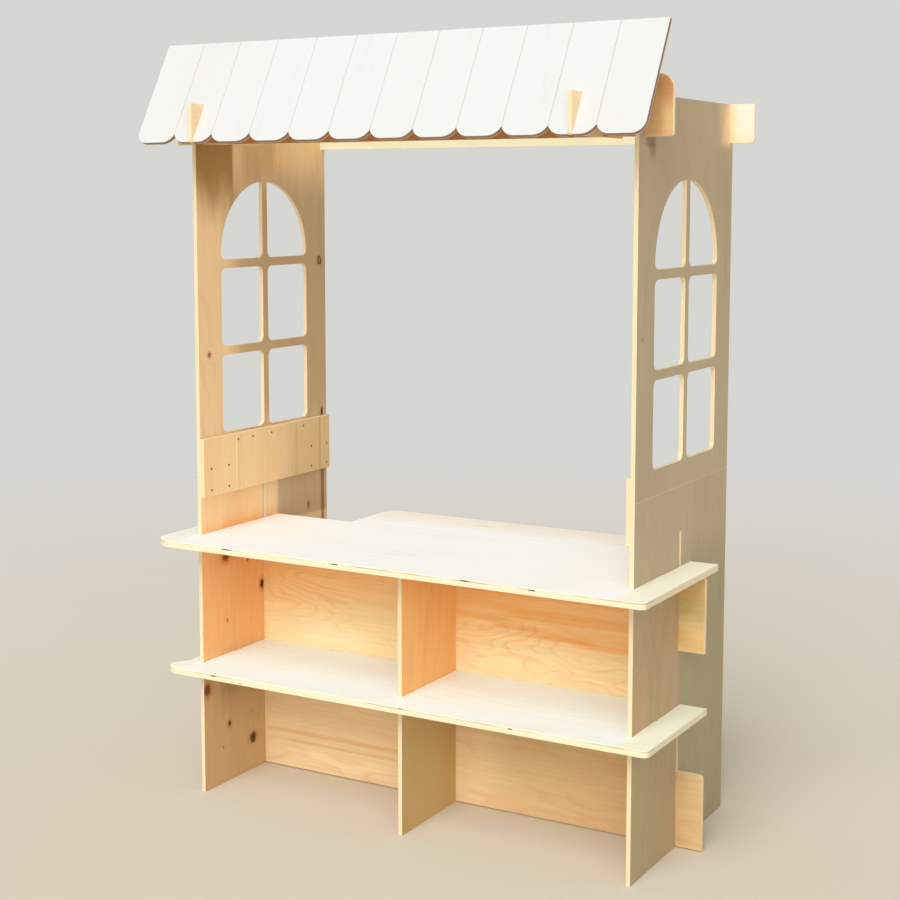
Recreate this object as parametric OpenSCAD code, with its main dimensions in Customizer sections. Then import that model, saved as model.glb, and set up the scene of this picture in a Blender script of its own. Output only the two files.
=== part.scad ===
// Wooden market stall: plywood sheets that slot together.
// X runs across the stall, Y from the customer's side to the back, Z up.

/* [Plywood] */
// Thickness of the upright sheets and the awning
ply = 12; // [10:1:15]
// Thickness of the counter and the shelf
board = 18; // [16:1:20]
// Play on each side of a sheet in its slot
slot_play = 0.3; // [0.2:0.1:0.5]

/* [Side panels] */
// Width over the outer faces of the two side panels
stall_w = 1380; // [1340:5:1420]
// Depth of a side panel from front to back
panel_d = 656; // [650:2:680]
// Height of a side panel
panel_h = 2014; // [2000:2:2030]
// Height of the seam between the lower and the upper sheet
seam_z = 996; // [980:2:1020]
// Lower edge of the splice plates that bridge the seam
splice_z = 886; // [870:2:900]
// Height of the splice plates
splice_h = 173; // [160:1:176]
// Depth of the narrow splice plate at the front edge
splice_front_d = 157; // [120:1:220]

/* [Windows] */
// Width of the arched window over its two columns of panes
window_w = 437; // [400:1:440]
// Lower edge of the lowest panes
window_z = 1065; // [1060:1:1068]
// Height of a pane in the two lower rows
pane_h = 230; // [216:2:232]
// Crown of the arch
window_top = 1806; // [1804:1:1840]
// Width of the bars between the panes
bar_w = 26; // [18:1:27]
// Radius in the corners of the panes
pane_r = 20; // [8:1:24]

/* [Counter and shelf] */
// Top of the counter above the floor
counter_z = 777; // [777:1:790]
// How far the counter stands out in front of the side panels
counter_front = 120; // [90:2:130]
// How far the counter stands out past each side panel
counter_side = 81; // [60:1:90]
// Back edge of the counter beside the side panels
counter_back = 384; // [360:1:400]
// Where the counter's rear leaf begins, left of the middle
leaf_left = 406; // [350:2:450]
// Back edge of the counter's rear leaf
leaf_back = 610; // [560:2:640]
// Radius of the leaf's two rear corners
leaf_r = 42; // [20:2:60]
// Radius in the corner where the leaf begins
leaf_root_r = 9; // [4:1:20]
// Top of the shelf above the floor
shelf_z = 394; // [380:1:410]
// How far the shelf stands out in front of the side panels
shelf_front = 84; // [83:1:90]
// How far the shelf stands out past the right side panel
shelf_side = 78; // [74:1:90]
// How far its left front corner stands out past the left side panel
shelf_left_nose = 68; // [60:1:80]
// How far it stands out there behind that corner
shelf_left_side = 42; // [30:1:56]
// Length of the slanted edge between the two
shelf_slant = 36; // [24:1:36]
// Back edge of the shelf
shelf_back = 325; // [318:1:340]
// Radius of the counter's left front corner
counter_left_r = 72; // [40:1:80]
// Radius of the shelf's left front corner
shelf_left_r = 45; // [20:1:46]
// Radius of the right front corners of both
board_right_r = 18; // [8:1:40]

/* [Back boards] */
// Front face of both back boards
back_y = 303; // [290:1:304]
// Height of the hooked tabs at the ends of the lower back board
lower_tab_h = 210; // [190:2:216]
// Height of the hooked tabs at the ends of the upper back board
upper_tab_h = 209; // [190:1:209]
// How far the lower board's tabs drop over the lower edges of their slots
lower_tab_drop = 104; // [60:2:104]
// How far the upper board's tabs drop over the lower edges of their slots
upper_tab_drop = 117; // [60:1:120]
// How far a tab stands out past its side panel
tab_out = 76; // [50:2:80]
// Radius on the upper outer corner of a tab
tab_r = 12; // [4:1:20]
// Lower edge of the lower back board and its tabs
lower_tab_z = 3; // [2:1:14]
// Lower edge of the upper back board's tabs
upper_tab_z = 547; // [540:1:549]

/* [Headers] */
// Underside of both headers and of the awning brackets
header_z = 1908; // [1900:1:1916]
// Height of the front header
front_header_h = 152; // [140:1:160]
// Radius on the upper corners of the front header
header_top_r = 38; // [20:1:46]
// Height of the back header and of the awning brackets
back_header_h = 106; // [100:1:106]
// Front face of the front header
front_header_y = 30; // [20:1:60]
// Front face of the back header
back_header_y = 630; // [600:1:632]
// How far the front header stands out past each side panel
front_header_out = 76; // [60:1:90]
// How far the back header stands out past each side panel
back_header_out = 70; // [60:1:90]
// Radius on the lower corners of headers and brackets
header_r = 7; // [3:1:12]

/* [Awning] */
// Number of scallops along the awning
scallop_count = 12; // [8:1:16]
// Width of one scallop
scallop_w = 127.8; // [100:0.1:140]
// Drop of a scallop below the points between them
scallop_drop = 26; // [16:1:30]
// Radius that runs from the flat foot of a scallop up to those points
scallop_r = 42; // [36:1:48]
// Radius of the two outer corners of the awning
end_r = 34; // [10:1:40]
// Length of the awning sheet above those points
awning_len = 293; // [240:1:340]
// Slope of the awning from the floor, in degrees
awning_tilt = 61.2; // [55:0.1:70]
// How far the points between the scallops hang in front of the side panels
awning_front = 141; // [138:1:146]
// Height of those points
awning_z = 1933; // [1925:1:1945]
// Depth of the V grooves that divide the awning into strips
groove_depth = 1.6; // [0.5:0.1:3]
// How far the noses of the brackets stand out in front of the side panels
nose_out = 155; // [150:1:170]
// How far the brackets run on behind the front header
bracket_tail = 108; // [40:4:120]

/* [Hidden] */

$fn = 96;
outer_x = stall_w / 2;
inner_x = outer_x - ply;
counter_under = counter_z - board;
shelf_under = shelf_z - board;
counter_lap = counter_back / 2;
shelf_lap = back_y / 2;
header_lap_z = header_z + back_header_h / 2;
window_y = panel_d / 2 + 2;
pane_w = (window_w - bar_w) / 2;
top_row_z = window_z + 2 * (pane_h + bar_w);
awning_half_w = scallop_count * scallop_w / 2;
scallop_run = sqrt(pow(scallop_r, 2) - pow(scallop_r - scallop_drop, 2));
bracket_x = 4.5 * scallop_w;
bracket_lap = (header_lap_z - awning_z) / sin(awning_tilt);
middle_y = (panel_d - nose_out) / 2;

// Every sheet is drawn from the front edge of the side panels, then centred from front to back.
module centred() translate([0, -middle_y, 0]) children();

// A sheet that stands across the stall, drawn in X and Z, with its front face at front_y.
module upright_across(front_y)
  centred() translate([0, front_y + ply, 0]) rotate([90, 0, 0]) linear_extrude(ply) children();

// A sheet that stands from front to back, drawn in Y and Z, with its left face at left_x.
module upright_along(left_x)
  centred() translate([left_x, 0, 0]) rotate([90, 0, 90]) linear_extrude(ply) children();

// A level board, drawn in X and Y, with its top at top_z.
module level_board(top_z)
  centred() translate([0, 0, top_z - board]) linear_extrude(board) children();

// A rectangle between two corners.
module area(x0, y0, x1, y1) translate([x0, y0]) square([x1 - x0, y1 - y0]);

// What a round corner takes away: the corner is at p, and dx and dy point into the sheet.
module corner_waste(p, dx, dy, r)
  translate(p) scale([dx, dy]) difference() {
    translate([-1, -1]) square(r + 1);
    translate([r, r]) circle(r);
  }

// A rectangle with round lower corners, both alike or each with its own radius.
module round_foot_area(x0, y0, x1, y1, r, right_r = 0)
  difference() {
    area(x0, y0, x1, y1);
    corner_waste([x0, y0], 1, 1, r);
    corner_waste([x1, y0], -1, 1, right_r > 0 ? right_r : r);
  }

// A rectangle with four round corners.
module round_area(x0, y0, x1, y1, r)
  difference() {
    round_foot_area(x0, y0, x1, y1, r);
    corner_waste([x0, y1], 1, -1, r);
    corner_waste([x1, y1], -1, -1, r);
  }

// Six panes under one round arch, drawn in Y and Z.
module window_panes()
  for (left = [window_y - window_w / 2, window_y + bar_w / 2]) {
    for (row = [0, 1]) {
      z = window_z + row * (pane_h + bar_w);
      round_area(left, z, left + pane_w, z + pane_h, pane_r);
    }
    intersection() {
      round_foot_area(left, top_row_z, left + pane_w, window_top, pane_r);
      union() {
        translate([window_y, window_top - window_w / 2]) circle(window_w / 2);
        area(left, top_row_z, left + pane_w, window_top - window_w / 2);
      }
    }
  }

// Outline of the lower sheet of a side panel, with the slots for counter, shelf and back boards.
module side_lower_outline()
  difference() {
    area(0, 0, panel_d, seam_z);
    area(-1, counter_under, counter_lap, counter_z + slot_play);
    area(-1, shelf_under, shelf_lap, shelf_z + slot_play);
    for (slot = [[lower_tab_z + lower_tab_drop, lower_tab_h],
                 [upper_tab_z + upper_tab_drop, upper_tab_h]])
      area(back_y - slot_play, slot[0], back_y + ply + slot_play, slot[0] + slot[1] + slot_play);
  }

// Outline of the upper sheet of a side panel, with its window and the slots for the headers.
module side_upper_outline()
  difference() {
    area(0, seam_z, panel_d, panel_h);
    window_panes();
    for (y = [front_header_y, back_header_y])
      area(y - slot_play, header_lap_z, y + ply + slot_play, panel_h + 1);
  }

module left_side_lower() color("burlywood") upright_along(-outer_x) side_lower_outline();
module right_side_lower() color("burlywood") upright_along(inner_x) side_lower_outline();
module left_side_upper() color("wheat") upright_along(-outer_x) side_upper_outline();
module right_side_upper() color("wheat") upright_along(inner_x) side_upper_outline();

// Splice plates on the inner faces, in a narrow piece at the front and a long one behind it.
module splice_front_outline() area(0, splice_z, splice_front_d, splice_z + splice_h);
module splice_back_outline() area(splice_front_d, splice_z, panel_d, splice_z + splice_h);
module left_splice_front() color("tan") upright_along(-inner_x) splice_front_outline();
module left_splice_back() color("tan") upright_along(-inner_x) splice_back_outline();
module right_splice_front() color("tan") upright_along(inner_x - ply) splice_front_outline();
module right_splice_back() color("tan") upright_along(inner_x - ply) splice_back_outline();

// The divider under the middle of the counter laps over the shelf from behind.
module centre_divider()
  color("burlywood") upright_along(-ply / 2) difference() {
    area(0, 0, back_y, counter_under);
    area(-1, shelf_under, shelf_lap, shelf_z + slot_play);
  }

// Slots that open at the back edge of a level board and take the two side panels.
module side_panel_slots(front_y, back)
  for (x = [-outer_x, inner_x])
    area(x - slot_play, front_y, x + ply + slot_play, back + 1);

// The shelf is drawn in behind its left front corner.
module shelf()
  color("bisque") level_board(shelf_z) difference() {
    round_foot_area(-outer_x - shelf_left_nose, -shelf_front, outer_x + shelf_side, shelf_back,
                    shelf_left_r, board_right_r);
    translate([-outer_x, 0])
      polygon([[-shelf_left_nose - 1, -shelf_slant], [-shelf_left_nose, -shelf_slant],
               [-shelf_left_side, 0], [-shelf_left_side, shelf_back + 1],
               [-shelf_left_nose - 1, shelf_back + 1]]);
    side_panel_slots(shelf_lap, shelf_back);
    area(-ply / 2 - slot_play, shelf_lap, ply / 2 + slot_play, shelf_back + 1);
  }

// The counter has a leaf at the back that runs to the inner face of the right side panel.
module counter()
  color("bisque") level_board(counter_z) difference() {
    union() {
      round_foot_area(-outer_x - counter_side, -counter_front, outer_x + counter_side, counter_back,
                      counter_left_r, board_right_r);
      difference() {
        area(-leaf_left, counter_back - 1, inner_x, leaf_back);
        corner_waste([-leaf_left, leaf_back], 1, -1, leaf_r);
        corner_waste([inner_x - slot_play, leaf_back], -1, -1, leaf_r);
      }
      corner_waste([-leaf_left, counter_back], -1, 1, leaf_root_r);
    }
    side_panel_slots(counter_lap, leaf_back);
  }

// A back board from bottom to top inside the stall, with a tab at each end that passes through
// the slot in the side panel and hooks down over its lower edge.
module back_board_outline(bottom, top, tab_z, tab_h, drop) {
  area(-inner_x + slot_play, bottom, inner_x - slot_play, top);
  for (side = [-1, 1]) scale([side, 1]) difference() {
    union() {
      area(inner_x - ply, tab_z + drop, outer_x + tab_out, tab_z + tab_h);
      area(outer_x + slot_play, tab_z, outer_x + tab_out, tab_z + tab_h);
    }
    corner_waste([outer_x + tab_out, tab_z + tab_h], -1, -1, tab_r);
  }
}

module lower_back_board()
  color("navajowhite") upright_across(back_y)
    back_board_outline(lower_tab_z, shelf_under, lower_tab_z, lower_tab_h, lower_tab_drop);

module upper_back_board()
  color("navajowhite") upright_across(back_y)
    back_board_outline(shelf_z, counter_under, upper_tab_z, upper_tab_h, upper_tab_drop);

// A header that drops into the top of both side panels, notched from below.
module header_outline(height, out)
  difference() {
    round_foot_area(-outer_x - out, header_z, outer_x + out, header_z + height, header_r);
    for (x = [-outer_x, inner_x])
      area(x - slot_play, header_z - 1, x + ply + slot_play, header_lap_z);
  }

// The front header has round upper corners, and is notched from above too, for the brackets.
module front_header()
  color("tan") upright_across(front_header_y) difference() {
    header_outline(front_header_h, front_header_out);
    for (side = [-1, 1])
      corner_waste([side * (outer_x + front_header_out), header_z + front_header_h], -side, -1,
                   header_top_r);
    for (x = [-bracket_x, bracket_x])
      area(x - ply / 2 - slot_play, header_lap_z,
           x + ply / 2 + slot_play, header_z + front_header_h + 1);
  }

module back_header()
  color("tan") upright_across(back_header_y) header_outline(back_header_h, back_header_out);

// An awning bracket, with a slot square to the slope that takes the awning sheet
// and a notch that drops over the front header.
module bracket_outline()
  difference() {
    round_foot_area(-nose_out, header_z, front_header_y + ply + bracket_tail,
                    header_z + back_header_h, header_r);
    area(front_header_y - slot_play, header_z - 1, front_header_y + ply + slot_play, header_lap_z);
    translate([-awning_front, awning_z]) rotate(awning_tilt)
      area(bracket_lap, -ply - slot_play, bracket_lap + 2 * back_header_h, slot_play);
  }

module left_awning_bracket() color("peru") upright_along(-bracket_x - ply / 2) bracket_outline();
module right_awning_bracket() color("peru") upright_along(bracket_x - ply / 2) bracket_outline();

// What is cut away on one side of a point between two scallops.
module scallop_waste(p, dx)
  translate(p) scale([dx, 1]) difference() {
    translate([-1, -1]) square([scallop_run + 1, scallop_drop + 1]);
    translate([scallop_run, scallop_r]) circle(scallop_r);
  }

// The awning sheet in X and along the slope, from the scallops up.
module awning_outline()
  difference() {
    area(-awning_half_w, -scallop_drop, awning_half_w, awning_len);
    for (i = [1 : scallop_count - 1]) for (side = [-1, 1])
      scallop_waste([i * scallop_w - awning_half_w, -scallop_drop], side);
    for (side = [-1, 1])
      corner_waste([side * awning_half_w, -scallop_drop], -side, 1, end_r);
    for (x = [-bracket_x, bracket_x])
      area(x - ply / 2 - slot_play, -2 * scallop_drop, x + ply / 2 + slot_play, bracket_lap);
  }

// V grooves run up the front face from the points between the scallops.
module awning_grooves()
  for (i = [1 : scallop_count - 1])
    translate([i * scallop_w - awning_half_w, -1, 0]) rotate([0, 45, 0])
      translate([-groove_depth / sqrt(2), 0, -groove_depth / sqrt(2)])
        cube([groove_depth * sqrt(2), awning_len + 2, groove_depth * sqrt(2)]);

module awning()
  color("ivory") centred() translate([0, -awning_front, awning_z]) rotate([awning_tilt, 0, 0])
    difference() {
      translate([0, 0, -ply]) linear_extrude(ply) awning_outline();
      awning_grooves();
    }

left_side_lower();
right_side_lower();
left_side_upper();
right_side_upper();
left_splice_front();
left_splice_back();
right_splice_front();
right_splice_back();
centre_divider();
shelf();
counter();
lower_back_board();
upper_back_board();
front_header();
back_header();
left_awning_bracket();
right_awning_bracket();
awning();
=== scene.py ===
"""Market stall of slotted plywood sheets: every sheet gets its veneer, its knots and its ply edges.

All sizes are in metres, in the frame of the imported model: X runs across the stall to the customer's
right, Y from the customer's side to the seller's side, and Z up from the floor.
"""
import logging
import math
from dataclasses import dataclass, replace
from enum import Enum
from typing import Any, Callable, Mapping, Optional, Sequence, Union

import bmesh
import bpy
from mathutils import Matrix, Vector


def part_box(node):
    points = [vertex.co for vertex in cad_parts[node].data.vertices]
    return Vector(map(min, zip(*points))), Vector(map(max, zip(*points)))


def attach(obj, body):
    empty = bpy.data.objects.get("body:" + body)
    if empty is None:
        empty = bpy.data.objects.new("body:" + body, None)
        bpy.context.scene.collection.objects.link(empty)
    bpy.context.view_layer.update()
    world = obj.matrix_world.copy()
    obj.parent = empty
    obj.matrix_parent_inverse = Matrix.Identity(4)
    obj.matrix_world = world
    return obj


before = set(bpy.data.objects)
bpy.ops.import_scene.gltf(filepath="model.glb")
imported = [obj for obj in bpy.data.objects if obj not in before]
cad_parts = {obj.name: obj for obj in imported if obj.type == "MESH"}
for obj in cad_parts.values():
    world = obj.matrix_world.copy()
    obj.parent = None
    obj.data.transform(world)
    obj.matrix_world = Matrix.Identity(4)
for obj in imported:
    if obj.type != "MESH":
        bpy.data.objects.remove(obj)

LOG = logging.getLogger("stall")
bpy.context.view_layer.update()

Colour = tuple[float, float, float]
Point = tuple[float, float, float]

AWNING_TILT = math.radians(61.2)
PANEL_FRONT = -0.2505
ARRIS = 0.0007


def srgb(red: float, green: float, blue: float) -> Colour:
    """Turn a colour on the usual 0 to 255 scale into linear light.

    Args:
        red: Red part of the colour.
        green: Green part of the colour.
        blue: Blue part of the colour.

    Returns:
        The three parts in linear light, from 0 to 1.
    """
    parts = [part / 255 for part in (red, green, blue)]
    return tuple(p / 12.92 if p <= 0.04045 else ((p + 0.055) / 1.055) ** 2.4 for p in parts)


def add_object(name: str, data: Any) -> bpy.types.Object:
    """Make an object from a mesh, a lamp or a camera and put it in the scene."""
    made = bpy.data.objects.new(name, data)
    bpy.context.scene.collection.objects.link(made)
    return made


def keep_mesh(name: str, shape: bmesh.types.BMesh) -> bpy.types.Mesh:
    """Turn a shape under construction into a mesh."""
    mesh = bpy.data.meshes.new(name)
    shape.to_mesh(mesh)
    shape.free()
    return mesh


def operator_method(operation: str, flipped: bool = False) -> Callable[["Expr", "Value"], "Expr"]:
    """Make the method that stands behind one of Python's operators.

    Args:
        operation: Operation of the Math node that it adds.
        flipped: Whether the expression is the second value, as in 1 - mask.

    Returns:
        The method for Expr.
    """

    def method(self: "Expr", other: "Value") -> "Expr":
        """Join this and another value in a Math node."""
        first, second = (other, self) if flipped else (self, other)
        return self.tree.math(operation, first, second)

    return method


class Expr:
    """A number inside a shader, on which Python's operators add Math nodes."""

    def __init__(self, tree: "ShaderTree", socket: bpy.types.NodeSocket) -> None:
        """Wrap an output socket of the tree."""
        self.tree = tree
        self.socket = socket

    __add__ = operator_method("ADD")
    __radd__ = operator_method("ADD", flipped=True)
    __sub__ = operator_method("SUBTRACT")
    __rsub__ = operator_method("SUBTRACT", flipped=True)
    __mul__ = operator_method("MULTIPLY")
    __rmul__ = operator_method("MULTIPLY", flipped=True)
    __truediv__ = operator_method("DIVIDE")
    __rtruediv__ = operator_method("DIVIDE", flipped=True)
    __pow__ = operator_method("POWER")
    __rpow__ = operator_method("POWER", flipped=True)
    __gt__ = operator_method("GREATER_THAN")
    __lt__ = operator_method("LESS_THAN")

    def __abs__(self) -> "Expr":
        """Give the size without its sign."""
        return self.tree.math("ABSOLUTE", self)

    def apply(self, operation: str, *others: "Value") -> "Expr":
        """Use a Math operation that has no operator in Python."""
        return self.tree.math(operation, self, *others)


Value = Union[Expr, float]


class NodeTree:
    """A node tree that is filled by one method."""

    def __init__(self, tree: bpy.types.NodeTree) -> None:
        """Take up an empty tree."""
        self.tree = tree

    def node(
        self,
        kind: str,
        settings: Optional[Mapping[str, Any]] = None,
        inputs: Optional[Mapping[Union[str, int], Any]] = None,
    ) -> bpy.types.Node:
        """Add any node: its settings come first, then the values or links of its sockets.

        Args:
            kind: Type of the node, such as ShaderNodeTexNoise.
            settings: The node's properties by name; "stops" gives the stops of a colour ramp.
            inputs: Values or links by the socket's name or number; a colour has three parts.

        Returns:
            The new node.
        """
        made = self.tree.nodes.new(kind)
        for name, setting in (settings or {}).items():
            if name == "stops":
                self._set_stops(made.color_ramp, setting)
            else:
                setattr(made, name, setting)
        for name, value in (inputs or {}).items():
            socket = made.inputs[name]
            source = value.socket if isinstance(value, Expr) else value
            if isinstance(source, bpy.types.NodeSocket):
                self.tree.links.new(source, socket)
            else:
                socket.default_value = (*source, 1.0) if socket.type == "RGBA" else source
        return made

    @staticmethod
    def _set_stops(ramp: bpy.types.ColorRamp, stops: Sequence[tuple[float, float]]) -> None:
        """Give a ramp its grey stops, as pairs of place and level."""
        while len(ramp.elements) < len(stops):
            ramp.elements.new(0.5)
        for element, (place, level) in zip(ramp.elements, stops):
            element.position = place
            element.color = (level, level, level, 1.0)


class ShaderTree(NodeTree):
    """The node tree of one material or world, filled through expressions."""

    def __init__(self, owner: Union[bpy.types.Material, bpy.types.World]) -> None:
        """Empty the tree of a material or a world."""
        owner.use_nodes = True
        super().__init__(owner.node_tree)
        self.owner = owner
        self.tree.nodes.clear()

    def place(self) -> bpy.types.NodeSocket:
        """Give the place on the object, in metres."""
        return self.node("ShaderNodeTexCoord").outputs["Object"]

    def math(self, operation: str, *values: Value) -> Expr:
        """Add a Math node for an operation on values."""
        made = self.node("ShaderNodeMath", {"operation": operation}, dict(enumerate(values)))
        return Expr(self, made.outputs[0])

    def measure(self, operation: str, *vectors: Any) -> Expr:
        """Add a Vector Math node whose result is a number."""
        made = self.node("ShaderNodeVectorMath", {"operation": operation}, dict(enumerate(vectors)))
        return Expr(self, made.outputs["Value"])

    def clamp(self, value: Value) -> Expr:
        """Keep a value between 0 and 1."""
        made = self.node("ShaderNodeClamp", None, {"Value": value})
        return Expr(self, made.outputs[0])

    def step(self, value: Value, low: float, high: float) -> Expr:
        """Rise smoothly from 0 at low to 1 at high, or fall where high is the lower number."""
        flip = low > high
        bounds = {"From Min": min(low, high), "From Max": max(low, high)}
        ends = {"To Min": 1.0 if flip else 0.0, "To Max": 0.0 if flip else 1.0}
        settings = {"interpolation_type": "SMOOTHSTEP"}
        made = self.node("ShaderNodeMapRange", settings, {"Value": value, **bounds, **ends})
        return Expr(self, made.outputs[0])

    def curve(self, value: Value, stops: Sequence[tuple[float, float]]) -> Expr:
        """Send a value through a grey ramp."""
        made = self.node("ShaderNodeValToRGB", {"stops": stops}, {"Fac": value})
        return Expr(self, made.outputs[0])

    def vector(self, x: Value, y: Value, z: Value) -> bpy.types.NodeSocket:
        """Join three numbers into a vector."""
        return self.node("ShaderNodeCombineXYZ", None, {0: x, 1: y, 2: z}).outputs[0]

    def noise(self, place: bpy.types.NodeSocket, detail: float = 2.0, roughness: float = 0.5) -> Expr:
        """Noise at a place that is scaled already, about 0.5 on average."""
        inputs = {"Vector": place, "Scale": 1.0, "Detail": detail, "Roughness": roughness}
        made = self.node("ShaderNodeTexNoise", {"noise_dimensions": "3D"}, inputs)
        return Expr(self, made.outputs[0])

    def speckle(self, scale: float, detail: float, roughness: float = 0.5) -> Expr:
        """Noise that has so many features in a metre in every direction."""
        inputs = {0: self.place(), "Scale": scale}
        near = self.node("ShaderNodeVectorMath", {"operation": "SCALE"}, inputs)
        return self.noise(near.outputs[0], detail, roughness)

    def mix_colour(self, factor: Value, first: Any, second: Any, blend: str = "MIX") -> Any:
        """Mix two colours.

        Args:
            factor: Share of the second colour.
            first: Colour or colour socket at a factor of 0.
            second: Colour or colour socket at a factor of 1.
            blend: Blend type of the Mix node.

        Returns:
            The socket of the mixed colour.
        """
        settings = {"data_type": "RGBA", "blend_type": blend, "clamp_factor": True}
        return self.node("ShaderNodeMix", settings, {0: factor, 6: first, 7: second}).outputs[2]

    def tinted(self, colour: Any, tint: Any) -> Any:
        """Multiply a colour by a tint."""
        return self.mix_colour(1.0, colour, tint, "MULTIPLY")

    def shaded(self, colour: Any, level: Expr) -> Any:
        """Multiply a colour by a level."""
        return self.tinted(colour, self.vector(level, level, level))

    def surface(self, colour: Any, roughness: Value, height: Optional[Expr], **constants: float) -> None:
        """End the tree in a Principled shader.

        Args:
            colour: Base colour, a colour or a socket.
            roughness: Roughness, a number or an expression.
            height: Height in metres for the bump, or nothing for a smooth face.
            constants: Other sockets of the shader, with a single number each.
        """
        inputs = {name.replace("_", " "): value for name, value in constants.items()}
        inputs.update({"Base Color": colour, "Roughness": roughness})
        if height is not None:
            relief = {"Height": height, "Distance": 1.0, "Strength": 1.0}
            inputs["Normal"] = self.node("ShaderNodeBump", None, relief).outputs[0]
        shader = self.node("ShaderNodeBsdfPrincipled", None, inputs)
        self.node("ShaderNodeOutputMaterial", None, {0: shader.outputs[0]})


class Lay(Enum):
    """How a sheet lies in the stall: its grain, the way across the grain and the way through it."""

    SIDE = ((0.0, 0.0, 1.0), (0.0, 1.0, 0.0), (1.0, 0.0, 0.0))
    BRACKET = ((0.0, 1.0, 0.0), (0.0, 0.0, 1.0), (1.0, 0.0, 0.0))
    CROSSWISE = ((1.0, 0.0, 0.0), (0.0, 0.0, 1.0), (0.0, -1.0, 0.0))
    LEVEL = ((1.0, 0.0, 0.0), (0.0, 1.0, 0.0), (0.0, 0.0, 1.0))
    SLOPE = (
        (0.0, math.cos(AWNING_TILT), math.sin(AWNING_TILT)),
        (1.0, 0.0, 0.0),
        (0.0, -math.sin(AWNING_TILT), math.cos(AWNING_TILT)),
    )


class PlyTree(ShaderTree):
    """The shader tree of one sheet, with places on it measured by its grain.

    Attributes:
        along: Place along the face grain, from the frame's origin.
        across: Place across the face grain, from the frame's origin.
        through: Place through the sheet, from its middle.
        front: 1 on the side that the lay's third vector points to, 0 on the other.
    """

    def __init__(self, name: str, lay: Lay, middle: float) -> None:
        """Start a sheet's material.

        Args:
            name: Name of the material.
            lay: How the sheet lies.
            middle: Place of the sheet's middle along the lay's third vector.
        """
        super().__init__(bpy.data.materials.new(name))
        place = self.place()
        self.along, self.across, depth = (self.measure("DOT_PRODUCT", place, way) for way in lay.value)
        self.through = depth - middle
        self.front = self.through > 0.0

    def field(
        self, run: float, width: float, layer: Value, detail: float = 2.0, roughness: float = 0.5
    ) -> Expr:
        """Noise with so many features in a metre along the grain and across it.

        Args:
            run: Features in a metre along the grain.
            width: Features in a metre across the grain.
            layer: Third place in the noise, which sets patterns apart.
            detail: Detail of the noise.
            roughness: Roughness of the noise.

        Returns:
            The noise, about 0.5 on average.
        """
        return self.noise(self.vector(self.along * run, self.across * width, layer), detail, roughness)


@dataclass(frozen=True)
class Knot:
    """A knot or a small dark mark in a face veneer.

    Attributes:
        along: Place along the grain, from the frame's origin.
        across: Place across the grain, from the frame's origin.
        length: Half its length along the grain.
        width: Half its width across the grain.
        depth: How strong the colour of its middle is, from 0 to 1.
        ring: How dark its rim is, from 0 to 1.
        tint: Its colour.
        halo: Strength of the brown wood round it, from 0 to 1.
    """

    along: float
    across: float
    length: float = 0.012
    width: float = 0.009
    depth: float = 0.9
    ring: float = 0.5
    tint: Colour = srgb(120, 70, 34)
    halo: float = 0.5


@dataclass(frozen=True)
class StainAndPaintedLight:
    """A soft patch or stripe in a face veneer: a stained patch of another tone, painted light or painted
    shade.

    Attributes:
        along: Its middle along the grain, from the frame's origin.
        across: Its middle across the grain, from the frame's origin.
        length: Half its length along the grain.
        width: Half its width across the grain.
        tint: What the veneer's colour is multiplied by.
        soft: Shares of its half length and half width over which it fades.
    """

    along: float
    across: float
    length: float
    width: float
    tint: Colour
    soft: tuple[float, float] = (0.6, 0.6)


@dataclass(frozen=True)
class Gap:
    """A dark gap in the core plies, where it opens in a cut edge.

    Attributes:
        along: Its middle along the face grain, from the frame's origin.
        across: Its middle across the face grain, from the frame's origin.
        through: Its height over the sheet's middle.
        length: Half its length.
        height: Half its height.
    """

    along: float
    across: float
    through: float
    length: float = 0.014
    height: float = 0.0016


@dataclass(frozen=True)
class Veneer:
    """The finish of a sheet's two faces.

    Attributes:
        pale: Colour of the early wood.
        warm: Colour of the broad darker bands.
        line: Colour of the late wood's thin lines.
        figure: Strength of the grain's lines, from 0 to 1.
        rings: Number of growth lines over the range of the figure.
        wander: Length in metres over which the lines wander across the grain.
        streaks: Strength of the fine streaks along the grain.
        bands: Strength of the broad bands.
        seed: Offset that gives each sheet its own pattern.
        pins: Share of the small pin knots, from 0 to 1.
        run: Features of the figure in a metre along the grain.
        curl: How much fine curl the figure has.
        near_tint: Tint of the face that the lay's third vector points to.
        far_tint: Tint of the other face.
        groove_shade: Painted shade in grooves, the tint of what lies below the face but within the skin.
        pin: Colour of the pin knots.
        scorch: Tint of the brown wood round a knot.
    """

    pale: Colour = srgb(240, 218, 176)
    warm: Colour = srgb(224, 188, 138)
    line: Colour = srgb(186, 136, 84)
    figure: float = 0.5
    rings: float = 16.0
    wander: float = 0.16
    streaks: float = 0.5
    bands: float = 0.5
    seed: float = 0.0
    pins: float = 0.5
    run: float = 0.75
    curl: float = 1.2
    near_tint: Colour = (1.0, 1.0, 1.0)
    far_tint: Colour = (1.0, 1.0, 1.0)
    groove_shade: Colour = (0.84, 0.83, 0.74)
    pin: Colour = srgb(112, 66, 36)
    scorch: Colour = srgb(226, 178, 132)


@dataclass(frozen=True)
class PlyEdge:
    """The finish of a sheet's cut edges, where its plies show.

    Attributes:
        long_grain: Colour of the plies that run along the edge.
        end_grain: Colour of the plies that are cut across.
        glue: Colour of the glue lines.
        ply: Thickness of one ply.
        contrast: Strength of the plies, from 0 to 1.
        voids: Share of the edge that has gaps in its core plies.
        seam: Strength of the broken dark line under the upper face, from 0 to 1.
        seam_tone: Colour of that line.
        seam_depth: How far below the upper face it runs.
        void: Colour of the gaps in the core plies.
    """

    long_grain: Colour = srgb(246, 228, 190)
    end_grain: Colour = srgb(226, 194, 146)
    glue: Colour = srgb(150, 104, 62)
    ply: float = 0.00135
    contrast: float = 0.7
    voids: float = 0.5
    seam: float = 0.0
    seam_tone: Colour = srgb(172, 154, 110)
    seam_depth: float = 0.0034
    void: Colour = srgb(74, 52, 34)


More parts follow.
